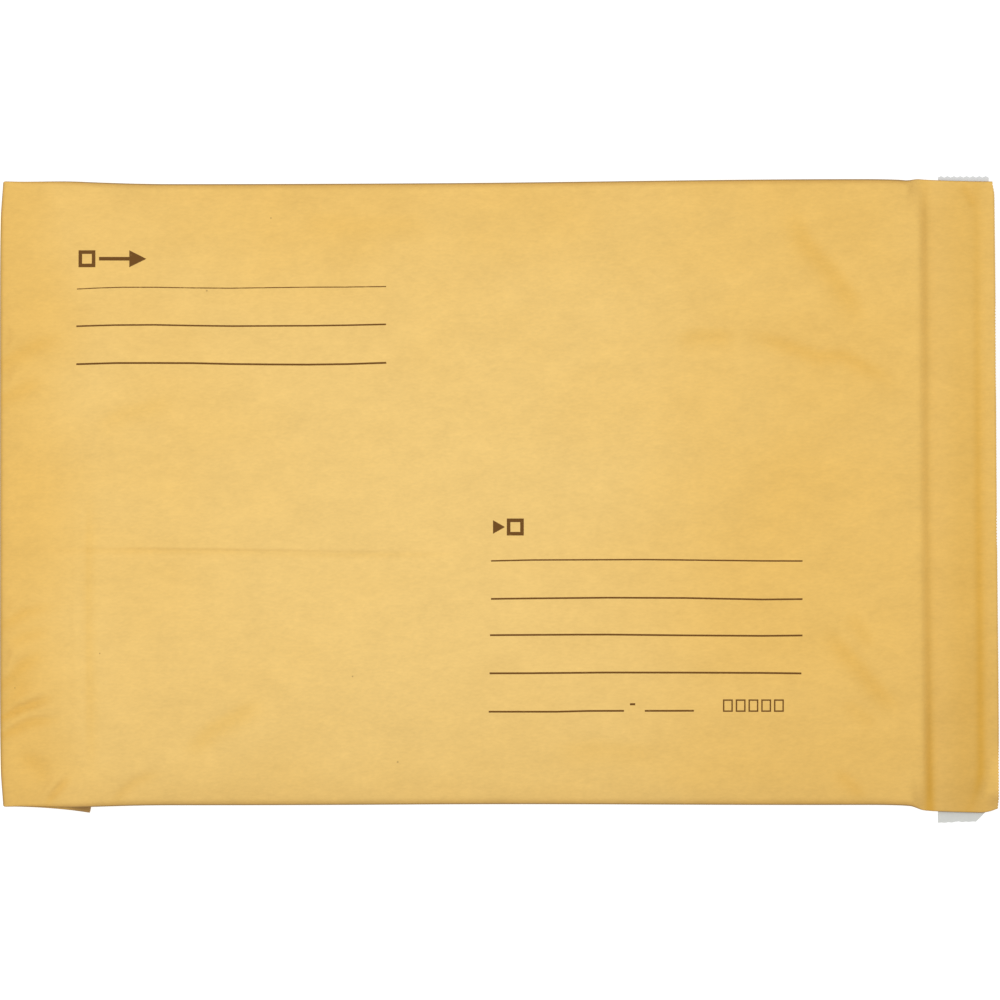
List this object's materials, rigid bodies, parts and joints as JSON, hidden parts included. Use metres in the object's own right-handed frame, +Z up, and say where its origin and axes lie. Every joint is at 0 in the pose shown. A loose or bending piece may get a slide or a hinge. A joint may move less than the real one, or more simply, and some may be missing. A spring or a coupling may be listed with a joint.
{
  "type": "padded envelope",
  "caption": "Padded kraft paper envelope, empty and lying on its back, with a folded bottom, a padded pocket and a self-seal lip under a release strip.",
  "frame": {"origin": "on the surface it lies on, under the middle of its bounding box", "axes": "+X from the folded bottom towards the mouth, +Y across the address side, +Z up out of the address side"},
  "size_m": [0.3456, 0.224, 0.012],
  "materials": {
    "kraft_outer": "satin golden kraft, faint horizontal fibre",
    "kraft_inner": "matt brown kraft",
    "fibre": "loose grey macerated fibre",
    "glue": "dried paper glue",
    "adhesive": "tacky pressure-sensitive film",
    "release_paper": "smooth pale release coating"
  },
  "bodies": {
    "root": {"outer_kraft_sheet": "kraft_outer", "inner_kraft_liner": "kraft_inner", "padding": "fibre", "seam_glue": "glue", "fold_glue": "glue", "closure_adhesive": "adhesive", "release_liner": "release_paper"}
  },
  "joints": []
}
